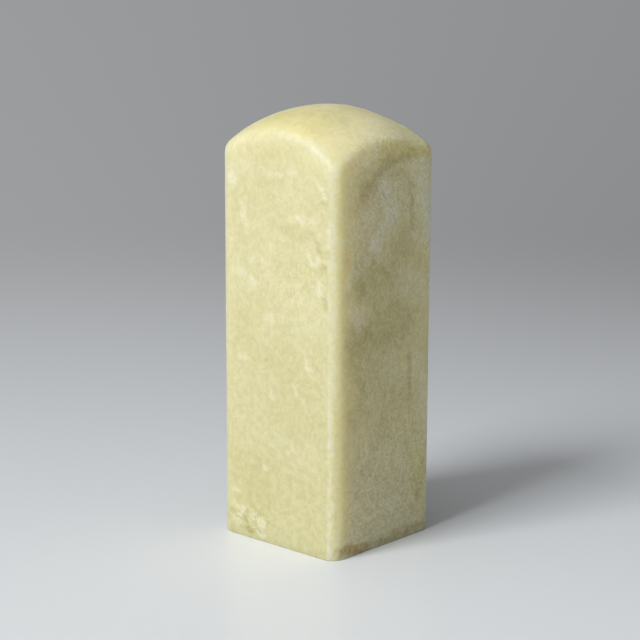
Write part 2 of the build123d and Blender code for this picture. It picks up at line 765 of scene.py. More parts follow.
FRONT_OLIVE = (
    Streak((-12.0, 0.0), (12.0, 0.0), 27.0, 0.36, 0.95),
    Streak((-12.0, 0.2), (12.0, 0.2), 1.2, 0.5, 0.95),
    Streak((10.3, 57.0), (10.8, 56.8), 0.45, 0.4),
    Streak((-0.3, 57.3), (-0.1, 57.0), 0.35, 0.3),
    Streak((8.5, 50.9), (9.2, 50.4), 0.5, 0.4),
    Streak((9.0, 49.9), (9.4, 49.2), 0.4, 0.5),
    Streak((10.0, 49.3), (11.2, 49.2), 0.6, 0.4),
    Streak((9.9, 46.8), (10.6, 46.7), 0.4, 0.5),
    Streak((10.4, 42.0), (11.2, 40.4), 0.6, 0.5),
    Streak((2.2, 52.0), (8.0, 51.3), 1.0, 0.2),
    Streak((-9.6, 32.0), (-9.2, 31.7), 0.35, 0.4),
    Streak((-2.6, 30.4), (-1.8, 30.2), 0.38, 0.5),
    Streak((8.3, 31.5), (8.8, 30.7), 0.5, 0.4),
    Streak((-5.6, 12.6), (-5.2, 12.2), 1.0, 0.25),
    Streak((2.5, 7.8), (2.9, 7.0), 0.7, 0.3),
    Streak((6.0, 28.0), (9.5, 26.3), 1.3, 0.25),
    Streak((2.6, 28.0), (3.3, 26.5), 0.6, 0.3),
    Streak((-11.8, 3.4), (-9.8, 2.2), 1.4, 0.35, 0.9),
    Streak((-10.3, 4.0), (-9.5, 3.9), 0.6, 0.75),
    Streak((-6.9, 2.9), (-6.2, 2.4), 0.5, 0.8),
    Streak((-6.1, 1.6), (-5.2, 1.0), 0.75, 1.0),
    Streak((-7.8, 1.7), (-7.4, 1.5), 0.35, 0.6),
    Streak((-10.0, 2.2), (-3.0, 1.8), 1.6, 0.35),
)

EDGE_CREAM = (
    Streak((-0.2, 0.3), (-0.2, 26.0), 0.4, 0.55, 0.5),
    Streak((-0.1, 26.0), (-0.1, 61.0), 0.5, 0.52, 0.5),
    Streak((-0.2, 9.0), (-0.1, 11.5), 0.3, 0.6),
    Streak((0.1, 38.0), (0.0, 42.0), 0.45, 0.6),
    Streak((0.0, 59.5), (0.1, 62.0), 0.7, 0.6),
)

RIGHT_OLIVE = (
    Streak((-5.3, 57.9), (-1.4, 60.8), 1.2, 0.42, 0.6),
    Streak((-4.6, 58.5), (-2.6, 60.0), 0.8, 0.52, 0.6),
    Streak((-9.6, 56.4), (-6.5, 57.6), 1.0, 0.1, 0.9),
    Streak((-1.4, 61.1), (0.2, 62.3), 0.9, 0.5, 0.7),
    Streak((0.4, 62.9), (6.3, 63.2), 0.8, 0.42, 0.5),
    Streak((0.2, 62.0), (2.4, 62.1), 0.4, 0.6, 0.6),
    Streak((6.3, 63.3), (11.0, 63.4), 0.8, 0.25, 0.7),
    Streak((-6.8, 46.8), (-5.6, 42.6), 0.8, 0.4, 0.8),
    Streak((-3.4, 48.2), (-3.3, 47.0), 0.4, 0.35),
    Streak((-7.6, 43.8), (-5.2, 42.4), 0.55, 0.35, 0.8),
    Streak((-0.8, 45.0), (1.5, 42.5), 0.9, 0.35, 0.8),
    Streak((-4.0, 45.0), (1.0, 43.0), 3.0, 0.26, 0.9),
    Streak((-5.0, 31.0), (4.0, 24.0), 3.0, 0.18, 0.9),
    Streak((-3.5, 14.0), (-0.5, 20.0), 1.8, 0.18, 0.9),
    Streak((-7.0, 34.5), (3.0, 35.5), 3.0, 0.4, 0.9),
    Streak((-2.0, 39.0), (6.0, 37.0), 2.0, 0.3, 0.9),
    Streak((-6.8, 30.5), (-5.5, 26.0), 1.0, 0.35, 0.8),
    Streak((-3.4, 28.2), (-3.2, 26.8), 0.6, 0.35, 0.8),
    Streak((-4.2, 32.0), (-3.4, 31.0), 0.8, 0.35, 0.8),
    Streak((-8.5, 23.0), (-7.5, 21.0), 0.8, 0.25, 0.8),
    Streak((5.7, 58.0), (5.8, 51.0), 0.5, 0.7, 0.6),
    Streak((2.0, 46.5), (5.0, 49.0), 2.2, 0.25, 0.9),
    Streak((5.8, 31.0), (5.9, 21.5), 0.6, 0.42, 0.9),
    Streak((-0.1, 25.2), (-0.1, 17.0), 0.4, 0.3, 0.9),
    Streak((-0.9, 25.0), (-0.9, 20.0), 0.3, 0.22, 0.9),
    Streak((0.8, 24.0), (0.9, 15.0), 0.35, 0.22, 0.9),
    Streak((8.0, 9.6), (8.6, 6.8), 1.1, 0.45, 0.8),
    Streak((9.8, 12.0), (10.4, 3.0), 0.8, 0.3, 0.8),
)

RIGHT_BROWN = (
    Streak((-11.2, 1.2), (-9.6, 1.5), 0.7, 0.8, 0.5),
    Streak((-9.8, 1.4), (-8.2, 1.4), 0.9, 1.0, 0.4),
    Streak((-8.2, 1.1), (-4.5, 0.9), 0.75, 0.9, 0.4),
    Streak((-4.5, 0.9), (2.0, 0.8), 0.6, 0.5, 0.5),
    Streak((2.0, 1.1), (7.0, 1.1), 0.7, 0.5, 0.5),
    Streak((7.0, 1.2), (11.0, 1.3), 0.65, 0.5, 0.5),
    Streak((-5.1, 35.9), (-4.3, 35.5), 1.0, 0.4, 0.8),
    Streak((-0.6, 45.0), (-0.2, 44.8), 0.5, 0.3, 0.8),
    Streak((-6.5, 24.5), (-4.5, 23.0), 0.9, 0.25, 0.9),
    Streak((-6.0, 6.0), (6.0, 6.0), 4.5, 0.12, 0.9),
)

# Painted light on the wall towards +X: a glow along the front edge, as if light came through from
# the lit front wall, a lighter upper wall, a lighter strip under the shoulder and a few lighter
# patches
RIGHT_PAINTED_GLOW = (
    Streak((-11.5, 0.0), (-11.4, 62.0), 2.0, 0.6, 0.9),
    Streak((0.0, 30.0), (0.0, 60.0), 14.0, 0.3, 0.5),
    Streak((-10.8, 47.0), (-9.8, 61.0), 1.8, 0.45, 0.9),
    Streak((-9.0, 49.0), (-8.0, 62.0), 2.6, 0.45, 0.9),
    Streak((2.0, 63.6), (10.5, 63.4), 1.0, 0.6, 0.9),
    Streak((8.0, 14.5), (9.6, 5.0), 1.8, 0.25, 0.9),
    Streak((-9.6, 44.8), (-9.8, 46.6), 0.6, 0.7, 0.8),
)

RIGHT_CREAM = (
    Streak((-3.6, 50.0), (-2.9, 49.4), 0.8, 1.0),
    Streak((0.4, 54.6), (1.4, 53.6), 0.8, 0.75),
    Streak((-1.2, 58.6), (-0.4, 57.4), 0.9, 0.6),
    Streak((-8.2, 49.3), (-8.3, 46.5), 0.35, 0.6),
    Streak((-8.3, 46.5), (-9.4, 43.2), 0.42, 0.95),
    Streak((-9.6, 29.5), (-8.7, 27.8), 0.5, 0.3),
    Streak((5.5, 43.5), (7.2, 43.2), 0.7, 0.6),
    Streak((0.8, 6.6), (1.4, 6.4), 0.9, 0.25),
    Streak((-0.7, 60.7), (2.9, 61.2), 0.35, 0.7),
    Streak((2.9, 61.2), (6.3, 61.7), 0.35, 0.85),
    Streak((6.3, 61.7), (10.6, 62.0), 0.35, 0.8),
)

FRONT_VEIL = (
    Streak((-9.0, 61.0), (4.0, 61.6), 1.0, 0.15, 0.8),
    Streak((-6.0, 17.0), (11.0, 17.0), 3.0, 0.22, 0.9),
)

# A whitish, grainy veil on the wall towards +X, and painted light: it is laid on thickest on the
# upper wall and along the front edge to make them paler
RIGHT_VEIL_AND_PAINTED_LIGHT = (
    Streak((-11.4, 0.0), (-11.2, 62.0), 1.5, 0.5, 0.9),
    Streak((-9.4, 54.0), (-8.2, 63.5), 1.9, 0.7, 0.8),
    Streak((-8.2, 63.5), (-5.0, 62.0), 1.3, 0.7, 0.8),
    Streak((-9.5, 51.0), (-4.0, 54.0), 2.2, 0.8, 0.8),
    Streak((-1.0, 55.5), (4.0, 56.5), 3.4, 0.65, 0.8),
    Streak((-0.9, 58.5), (1.1, 55.4), 2.0, 1.0, 0.8),
    Streak((1.1, 55.4), (-3.0, 49.5), 1.9, 1.0, 0.8),
    Streak((-3.0, 49.5), (-7.5, 46.5), 1.5, 0.7, 0.8),
    Streak((-7.0, 62.0), (-3.5, 64.0), 1.5, 0.9, 0.7),
    Streak((7.5, 60.0), (10.5, 51.0), 2.5, 0.95, 0.8),
    Streak((7.0, 50.5), (9.5, 49.0), 1.8, 0.6, 0.8),
    Streak((-8.4, 39.8), (-6.5, 38.3), 1.6, 0.8, 0.8),
    Streak((4.0, 43.0), (9.5, 41.0), 2.2, 0.5, 0.9),
    Streak((0.5, 29.5), (3.5, 27.5), 1.5, 0.35, 0.9),
    Streak((8.0, 29.0), (10.0, 20.0), 1.6, 0.55, 0.9),
    Streak((-9.0, 17.0), (3.0, 13.0), 3.5, 0.25, 0.9),
    Streak((-8.0, 6.5), (4.0, 6.5), 4.0, 0.25, 0.8),
)

RIGHT_GRIT = (
    Streak((-2.0, 57.0), (5.0, 57.0), 7.0, 1.0, 0.9),
    Streak((2.0, 0.0), (2.0, 12.0), 11.0, 1.1, 0.3),
    Streak((2.0, 12.0), (2.0, 60.0), 11.0, 0.75, 0.3),
)

FRONT_GRIT = (
    Streak((-8.0, 3.6), (-4.0, 2.6), 2.2, 0.7, 0.6),
    Streak((-4.0, 43.0), (6.0, 43.0), 6.0, 0.35, 0.9),
    Streak((0.0, 24.0), (0.0, 60.0), 14.0, 0.2, 0.5),
    Streak((0.0, 0.0), (0.0, 24.0), 14.0, 0.08, 0.5),
)

DOME_CREAM = (
    Streak((9.5, -11.8), (12.3, -12.0), 0.35, 0.3),
    Streak((10.4, -9.4), (11.6, -11.6), 0.35, 0.4),
    Streak((1.4, -2.4), (2.4, -1.8), 1.0, 0.3),
)

# Painted shade along the ridge of the front shoulder: a duller, whiter tone that dims its highlight
FRONT_RIDGE_PAINTED_SHADE = (
    Streak((-6.0, 66.0), (0.0, 66.7), 0.9, 0.3, 0.9),
    Streak((0.0, 66.7), (6.0, 65.8), 0.9, 0.4, 0.9),
    Streak((6.0, 65.8), (10.5, 63.8), 0.9, 0.6, 0.9),
)

DOME_OLIVE = (
    Streak((6.6, -4.2), (8.6, -5.4), 1.3, 0.3),
    Streak((-6.0, -9.0), (7.0, -8.0), 2.4, 0.24, 0.9),
    Streak((-4.0, -7.0), (3.0, -6.0), 3.4, 0.34, 0.9),
)

# Painted light on the dome: paler towards +X and across its front part
DOME_PAINTED_GLOW = (
    Streak((9.5, -2.0), (8.0, 8.0), 3.5, 0.4, 0.9),
    Streak((-4.0, -8.5), (10.5, -6.5), 4.0, 0.4, 0.9),
)

# Painted light: the dome is made paler towards +X, where less light falls on it
DOME_PAINTED_LIGHT_VEIL = (
    Streak((10.2, -7.0), (11.0, 8.0), 2.6, 0.45, 0.9),
    Streak((9.0, 1.0), (7.0, 8.0), 3.0, 0.6, 0.9),
    Streak((11.7, 0.0), (11.7, 8.0), 1.3, 0.85, 0.9),
)

DOME_GRIT = (
    Streak((0.0, 0.0), (1.0, 0.0), 18.0, 0.04, 0.5),
)

MARKS = {
    Mark.CREAM: {
        Wall.FRONT: FRONT_CREAM,
        Wall.EDGE: EDGE_CREAM,
        Wall.RIGHT: RIGHT_CREAM,
        Wall.DOME: DOME_CREAM,
    },
    Mark.OLIVE: {Wall.FRONT: FRONT_OLIVE, Wall.RIGHT: RIGHT_OLIVE, Wall.DOME: DOME_OLIVE},
    Mark.BROWN: {Wall.RIGHT: RIGHT_BROWN},
    Mark.RIDGE_PAINTED_SHADE: {Wall.FRONT: FRONT_RIDGE_PAINTED_SHADE},
    Mark.GLOW: {Wall.RIGHT: RIGHT_PAINTED_GLOW, Wall.DOME: DOME_PAINTED_GLOW},
    Mark.VEIL_AND_PAINTED_LIGHT: {Wall.FRONT: FRONT_VEIL, Wall.RIGHT: RIGHT_VEIL_AND_PAINTED_LIGHT, Wall.DOME: DOME_PAINTED_LIGHT_VEIL},
    Mark.GRIT: {Wall.FRONT: FRONT_GRIT, Wall.RIGHT: RIGHT_GRIT, Wall.DOME: DOME_GRIT},
}

# How strongly each kind of mark shows on the sides where it is spread by chance
HIDDEN_STRENGTH = {
    Mark.CREAM: 0.45,
    Mark.OLIVE: 0.3,
    Mark.BROWN: 0.08,
    # Painted light as well: the glow, and in part the veil below, are spread by chance over the
    # hidden sides
    Mark.GLOW: 0.15,
    Mark.VEIL_AND_PAINTED_LIGHT: 0.35,
    Mark.GRIT: 0.6,
}


@dataclass(frozen=True)
class StoneMarks:
    """Paints the marks of the stone onto its mesh, as one attribute for each kind of mark."""

    sizes: StoneSizes
    wander: float = 0.55 * MM
    wander_length: float = 1.4 * MM
    shortest_run: float = 0.03 * MM
    wall_facing: Pair = (0.3, 0.4)
    edge_facing: Pair = (0.15, 0.3)
    dome_facing: Pair = (0.15, 0.4)
    hidden_patch: float = 7.0 * MM
    hidden_shift: Triple = (17.0, 5.0, 29.0)
    hidden_noise: tuple[float, float, int] = (0.8, 2.1, 4)
    hidden_edge: Pair = (0.05, 0.45)

    def place(self, wall: Wall, at: Pair) -> Vector:
        """Turns a place on a wall into a point of the stone.

        Args:
            wall: The wall.
            at: The place, in millimetres, as a Streak gives it.

        Returns:
            The point, in metres.
        """
        along, up = at[0] * MM, at[1] * MM
        if wall is Wall.FRONT:
            return Vector((along, -self.sizes.depth / 2, up))
        if wall is Wall.RIGHT:
            return Vector((self.sizes.width / 2, along, up))
        if wall is Wall.EDGE:
            wear = self.sizes.wear
            from_right = (wear.flat_start + wear.flat_end[0]) / 2
            from_middle = (wear.flat_end[1] - self.sizes.depth) / 2
            flat = Vector((self.sizes.width / 2 - from_right, from_middle, up))
            return flat + along * Vector((math.sqrt(0.5), math.sqrt(0.5), 0.0))
        reach = self.sizes.dome_radius**2 - along**2 - up**2
        return Vector((along, up, self.sizes.dome_centre.z + math.sqrt(reach)))

    def strength(self, points: np.ndarray, wall: Wall, streak: Streak) -> np.ndarray:
        """How strongly one streak shows at each point.

        Args:
            points: The points, one in each row, in metres.
            wall: The wall that the streak is on.
            streak: The streak.

        Returns:
            A number from 0 to the streak's strength for each point.
        """
        start = np.array(self.place(wall, streak.start))
        run = np.array(self.place(wall, streak.end)) - start
        length_squared = max(run @ run, self.shortest_run**2)
        share = np.clip((points - start) @ run / length_squared, 0.0, 1.0)
        away = np.linalg.norm(points - start - share[:, None] * run, axis=1) / (streak.radius * MM)
        edge = np.clip((1.0 + streak.softness - away) / (2.0 * streak.softness), 0.0, 1.0)
        return streak.strength * edge * edge * (3.0 - 2.0 * edge)

    def paint(self, mesh: bpy.types.Mesh) -> None:
        """Writes the attributes.

        Args:
            mesh: The stone's mesh.
        """
        points = self._read(mesh.vertices, "co")
        right, back, up = self._read(mesh.vertex_normals, "vector").T
        on_wall = {
            Wall.FRONT: ramp(-back, *self.wall_facing),
            Wall.RIGHT: ramp(right, *self.wall_facing),
            Wall.EDGE: ramp(np.minimum(right, -back), *self.edge_facing),
            Wall.DOME: ramp(up, *self.dome_facing),
        }
        by_chance = 1.0 - np.maximum.reduce(list(on_wall.values()))
        sway = np.array([noise.noise_vector(Vector(p) / self.wander_length) for p in points])
        bent = points + self.wander * sway
        for mark, walls in MARKS.items():
            amount = by_chance * self._spread(points, mark)
            for wall, streaks in walls.items():
                for streak in streaks:
                    amount = np.maximum(amount, on_wall[wall] * self.strength(bent, wall, streak))
            layer = mesh.attributes.new(mark.value, "FLOAT", "POINT")
            layer.data.foreach_set("value", amount.astype(np.float32))

    @staticmethod
    def _read(data: bpy.types.bpy_prop_collection, name: str) -> np.ndarray:
        """Reads a vector from each item of a mesh's data, one in each row."""
        flat = np.zeros(len(data) * 3)
        data.foreach_get(name, flat)
        return flat.reshape(-1, 3)

    def _spread(self, points: np.ndarray, mark: Mark) -> np.ndarray:
        """The same kinds of mark, spread by chance over the sides with no listed marks."""
        shift = Vector(self.hidden_shift) * (1 + list(Mark).index(mark))
        places = (Vector(point) / self.hidden_patch + shift for point in points)
        cloud = np.array([noise.fractal(place, *self.hidden_noise) for place in places])
        return HIDDEN_STRENGTH.get(mark, 0.0) * ramp(cloud, *self.hidden_edge)


@dataclass(frozen=True)
class Waves:
    """A noise texture: how many waves there are to a unit, in how many layers, and how rough."""

    scale: float
    detail: float
    roughness: float = 0.5


class NodePad:
    """Adds nodes to one node tree and wires them up, so that a finish reads as a list of steps."""

    def __init__(self, tree: bpy.types.NodeTree) -> None:
        """Starts on a node tree, which is emptied."""
        self.tree = tree
        tree.nodes.clear()

    def add(self, kind: str, inputs: dict | None = None, **settings: object) -> bpy.types.Node:
        """Adds a node.

        Args:
            kind: The node's type.
            inputs: For each input, by name, identifier or number, a value or a socket to wire.
            settings: Properties of the node.

        Returns:
            The node.
        """
        node = self.tree.nodes.new(kind)
        for name, value in settings.items():
            setattr(node, name, value)
        for key, value in (inputs or {}).items():
            socket = node.inputs[key] if isinstance(key, int) else self._socket(node, key)
            if isinstance(value, Socket):
                self.tree.links.new(value, socket)
            else:
                socket.default_value = value
        return node

    @staticmethod
    def _socket(node: bpy.types.Node, key: str) -> Socket:
        """Finds an input by its identifier or, failing that, by its name."""
        for socket in node.inputs:
            if socket.identifier == key:
                return socket
        return node.inputs[key]

    def maths(self, operation: str, *values: object) -> Socket:
        """Adds a Math node and returns its output."""
        return self.add("ShaderNodeMath", dict(enumerate(values)), operation=operation).outputs[0]

    def vector(self, operation: str, *values: object) -> Socket:
        """Adds a Vector Math node that makes a vector and returns its output."""
        inputs = dict(enumerate(values))
        return self.add("ShaderNodeVectorMath", inputs, operation=operation).outputs["Vector"]

    def measure(self, operation: str, *values: object) -> Socket:
        """Adds a Vector Math node that makes a number and returns its output."""
        inputs = dict(enumerate(values))
        return self.add("ShaderNodeVectorMath", inputs, operation=operation).outputs["Value"]

    def scaled(self, vector: object, scale: float) -> Socket:
        """Scales a vector."""
        inputs = {"Vector": vector, "Scale": scale}
        return self.add("ShaderNodeVectorMath", inputs, operation="SCALE").outputs["Vector"]

    def fade(
        self, value: object, low: float, high: float, start: float = 0.0, end: float = 1.0
    ) -> Socket:
        """Maps low..high onto start..end smoothly, and holds it outside."""
        inputs = {"Value": value, "From Min": low, "From Max": high, "To Min": start, "To Max": end}
        return self.add("ShaderNodeMapRange", inputs, interpolation_type="SMOOTHSTEP").outputs[0]

    def noise(self, where: object, waves: Waves) -> bpy.types.NodeOutputs:
        """Adds a noise texture and returns its outputs, Fac and Color."""
        inputs = {"Vector": where, "Scale": waves.scale}
        inputs |= {"Detail": waves.detail, "Roughness": waves.roughness}
        return self.add("ShaderNodeTexNoise", inputs, noise_dimensions="3D").outputs

    def cloud(self, where: object, waves: Waves) -> Socket:
        """A noise texture's value."""
        return self.noise(where, waves)["Fac"]

    def mix(self, share: object, first: object, second: object) -> Socket:
        """Mixes two colours."""
        inputs = {"Factor_Float": share, "A_Color": first, "B_Color": second}
        node = self.add("ShaderNodeMix", inputs, data_type="RGBA")
        return next(s for s in node.outputs if s.identifier == "Result_Color")

    def here(self) -> Socket:
        """The place that is shaded, in metres, in the object's own frame."""
        return self.add("ShaderNodeTexCoord").outputs["Object"]

    def bump(self, height: Socket, strength: float, distance: float) -> Socket:
        """The way the surface faces once fine relief is laid over it."""
        inputs = {"Height": height, "Strength": strength, "Distance": distance}
        return self.add("ShaderNodeBump", inputs).outputs["Normal"]

    def stone_body(self, stone: bpy.types.NodeTree) -> bpy.types.Node:
        """Adds the stone's own group, wired to the attributes of its marks."""
        marks = {
            mark.socket: self.add("ShaderNodeAttribute", attribute_name=mark.value).outputs["Fac"]
            for mark in Mark
        }
        return self.add("ShaderNodeGroup", marks, node_tree=stone)


def new_material(name: str) -> tuple[bpy.types.Material, NodePad]:
    """Makes an empty material and the pad that its nodes are added with."""
    material = bpy.data.materials.new(name)
    material.use_nodes = True
    return material, NodePad(material.node_tree)


def linear(red: int, green: int, blue: int) -> Colour:
    """A colour given as it looks on a screen, 0 to 255, as the shader wants it."""
    levels = [c / 255 for c in (red, green, blue)]
    return (*[c / 12.92 if c < 0.04045 else ((c + 0.055) / 1.055) ** 2.4 for c in levels], 1.0)


class Texture(Enum):
    """What breaks up the tint of a kind of mark."""

    NONE = "even all over"
    MOTTLE = "soft mottling"
    COTTON = "finer mottling, like torn cotton"


@dataclass(frozen=True)
class Tint:
    """How one kind of mark colours the stone.

    The fade turns the value of the texture into how much of the mark's strength shows.
    """

    mark: Mark
    colour: Colour
    texture: Texture = Texture.NONE
    fade: Fade = (0.0, 1.0, 1.0, 1.0)


# In the order that they are laid over each other
TINTS = (
    # Painted light
    Tint(Mark.GLOW, linear(245, 233, 158)),
    Tint(Mark.OLIVE, linear(188, 179, 112), Texture.MOTTLE, (0.3, 0.65, 1.15, 0.7)),
    Tint(Mark.BROWN, linear(196, 173, 102), Texture.COTTON, (0.35, 0.65, 1.2, 0.6)),
    # A whitish veil, also used as painted light
    Tint(Mark.VEIL_AND_PAINTED_LIGHT, linear(247, 243, 216), Texture.COTTON, (0.3, 0.65, 0.15, 0.9)),
    # Painted shade on the ridge
    Tint(Mark.RIDGE_PAINTED_SHADE, linear(212, 208, 178)),
    Tint(Mark.CREAM, linear(246, 242, 216), Texture.COTTON, (0.3, 0.62, 0.35, 1.0)),
)


@dataclass(frozen=True)
class CloudyStone:
    """The stone's own colour, with painted light and shade laid in by some marks, in a node group
    that the waxed and the cut finish share.
    """

    body: Colour = linear(222, 215, 165)
    pale: Colour = linear(235, 230, 190)
    clouds: Waves = Waves(0.085, 3.0)
    cloud_paleness: Fade = (0.35, 0.65, -0.15, 0.25)
    mottle: Waves = Waves(0.8, 4.0, 0.7)
    mottle_paleness: Fade = (0.36, 0.68, 0.05, 0.48)
    mottle_share: float = 0.5
    cotton: Waves = Waves(1.12, 4.0, 0.7)
    drift: Waves = Waves(0.22, 2.0)
    drift_reach: float = 3.2
    brushing: Waves = Waves(1.0, 2.0, 0.6)
    brushing_stretch: Triple = (2.4, 2.4, 0.25)
    brushing_share: float = 0.15
    grain: Waves = Waves(2.3, 3.0, 0.8)
    grain_play: Fade = (0.58, 1.08, -1.0, 1.0)
    grit_reach: float = 0.25
    least_grit: float = 0.025
    grit_tint: Triple = (0.6, 0.65, 1.0)

    def group(self) -> bpy.types.NodeTree:
        """Builds the group.

        Returns:
            The node group, with outputs Colour and Grain.
        """
        tree = bpy.data.node_groups.new("cloudy_stone", "ShaderNodeTree")
        for mark in Mark:
            tree.interface.new_socket(mark.socket, in_out="INPUT", socket_type="NodeSocketFloat")
        tree.interface.new_socket("Colour", in_out="OUTPUT", socket_type="NodeSocketColor")
        tree.interface.new_socket("Grain", in_out="OUTPUT", socket_type="NodeSocketFloat")
        pad = NodePad(tree)
        marks = pad.add("NodeGroupInput").outputs
        here = pad.scaled(pad.here(), 1 / MM)
        bent = self._bend(pad, here)
        mottle = pad.cloud(bent, self.mottle)
        cotton = pad.cloud(bent, self.cotton)
        grain = pad.cloud(here, self.grain)
        colour = self._tint(pad, self._paleness(pad, bent, mottle), marks, mottle, cotton)
        colour = self._grit(pad, colour, marks, bent, mottle, grain)
        pad.add("NodeGroupOutput", {"Colour": colour, "Grain": grain})
        return tree

    def _bend(self, pad: NodePad, here: Socket) -> Socket:
        """Moves the place that is shaded to and fro, so that no texture runs straight."""
        centred = pad.vector("SUBTRACT", pad.noise(here, self.drift)["Color"], NOISE_MIDDLE)
        return pad.vector("ADD", here, pad.scaled(centred, self.drift_reach))

    def _paleness(self, pad: NodePad, bent: Socket, mottle: Socket) -> Socket:
        """The plain stone, paler in large clouds and in small mottling."""
        small = pad.fade(mottle, *self.mottle_paleness)
        large = pad.fade(pad.cloud(bent, self.clouds), *self.cloud_paleness)
        paleness = pad.maths("ADD", small, large)
        return pad.mix(paleness, self.body, self.pale)

    @staticmethod
    def _tint(
        pad: NodePad,
        colour: Socket,
        marks: bpy.types.NodeOutputs,
        mottle: Socket,
        cotton: Socket,
    ) -> Socket:
        """Lays the tints of the marks over the plain stone, one after the other.

        Args:
            pad: The pad of the group.
            colour: The plain stone's colour.
            marks: The strengths of the marks, by name.
            mottle: The value of the soft mottling.
            cotton: The value of the finer mottling.

        Returns:
            The colour with the marks in it.
        """
        textures = {Texture.MOTTLE: mottle, Texture.COTTON: cotton}
        for tint in TINTS:
            share = marks[tint.mark.socket]
            if tint.texture in textures:
                shown = pad.fade(textures[tint.texture], *tint.fade)
                share = pad.maths("MULTIPLY", share, shown)
            colour = pad.mix(share, colour, tint.colour)
        return colour

    def _grit(
        self,
        pad: NodePad,
        colour: Socket,
        marks: bpy.types.NodeOutputs,
        bent: Socket,
        mottle: Socket,
        grain: Socket,
    ) -> Socket:
        """Makes the colour a little darker and lighter by turns, as fine grit in the stone does.

        Args:
            pad: The pad of the group.
            colour: The colour without grit.
            marks: The strengths of the marks, by name.
            bent: The place that is shaded, as the soft textures see it.
            mottle: The value of the soft mottling.
            grain: The value of the finest texture.

        Returns:
            The colour with grit in it.
        """
        stretched = pad.vector("MULTIPLY", bent, self.brushing_stretch)
        brushed = pad.cloud(stretched, self.brushing)
        both = pad.maths("ADD", grain, pad.maths("MULTIPLY", brushed, self.brushing_share))
        both = pad.maths("ADD", both, pad.maths("MULTIPLY", mottle, self.mottle_share))
        play = pad.fade(both, *self.grain_play)
        reach = pad.maths("MULTIPLY_ADD", marks[Mark.GRIT.socket], self.grit_reach, self.least_grit)
        lift = pad.scaled(self.grit_tint, pad.maths("MULTIPLY", play, reach))
        return pad.vector("MULTIPLY", colour, pad.vector("ADD", lift, (1.0, 1.0, 1.0)))


@dataclass(frozen=True)
class WaxedFinish:
    """The outside of the stone: lapped smooth, waxed, and a little translucent."""

    roughness: Fade = (0.3, 0.7, 0.46, 0.58)
    wax: float = 0.12
    wax_roughness: float = 0.3
    scatter_reach: float = 7.0 * MM
    scatter_radius: Triple = (1.0, 0.88, 0.68)
    scatter_rise: Fade = (0.3 * MM, 5.0 * MM, 0.3, 1.0)
    bump_strength: float = 0.5
    bump_height: float = 0.02 * MM

    def material(self, stone: bpy.types.NodeTree) -> bpy.types.Material:
        """Builds the material.

        Args:
            stone: The group that gives the stone's colour.

        Returns:
            The material.
        """
        material, pad = new_material("waxed_stone")
        body = pad.stone_body(stone)
        grain = body.outputs["Grain"]
        height = pad.add("ShaderNodeSeparateXYZ", {0: pad.here()}).outputs["Z"]
        shader = pad.add(
            "ShaderNodeBsdfPrincipled",
            {
                "Base Color": body.outputs["Colour"],
                "Roughness": pad.fade(grain, *self.roughness),
                "IOR": STONE_REFRACTION,
                "Normal": pad.bump(grain, self.bump_strength, self.bump_height),
                "Subsurface Weight": pad.fade(height, *self.scatter_rise),
                "Subsurface Radius": self.scatter_radius,
                "Subsurface Scale": self.scatter_reach,
                "Coat Weight": self.wax,
                "Coat Roughness": self.wax_roughness,
            },
        )
        pad.add("ShaderNodeOutputMaterial", {"Surface": shader.outputs[0]})
        return material


@dataclass(frozen=True)
class CutFinish:
    """The ground that the knife left: unwaxed, dull and paler than the lapped outside."""

    roughness: float = 0.8
    dust: Colour = linear(232, 228, 200)
    dust_share: float = 0.45
    bump_strength: float = 0.6
    bump_height: float = 0.06 * MM

    def material(self, stone: bpy.types.NodeTree) -> bpy.types.Material:
        """Builds the material.

        Args:
            stone: The group that gives the stone's colour.

        Returns:
            The material.
        """
        material, pad = new_material("cut_stone")
        body = pad.stone_body(stone)
        shader = pad.add(
            "ShaderNodeBsdfPrincipled",
            {
                "Base Color": pad.mix(self.dust_share, body.outputs["Colour"], self.dust),
                "Roughness": self.roughness,
                "IOR": STONE_REFRACTION,
                "Normal": pad.bump(body.outputs["Grain"], self.bump_strength, self.bump_height),
            },
        )
        pad.add("ShaderNodeOutputMaterial", {"Surface": shader.outputs[0]})
        return material


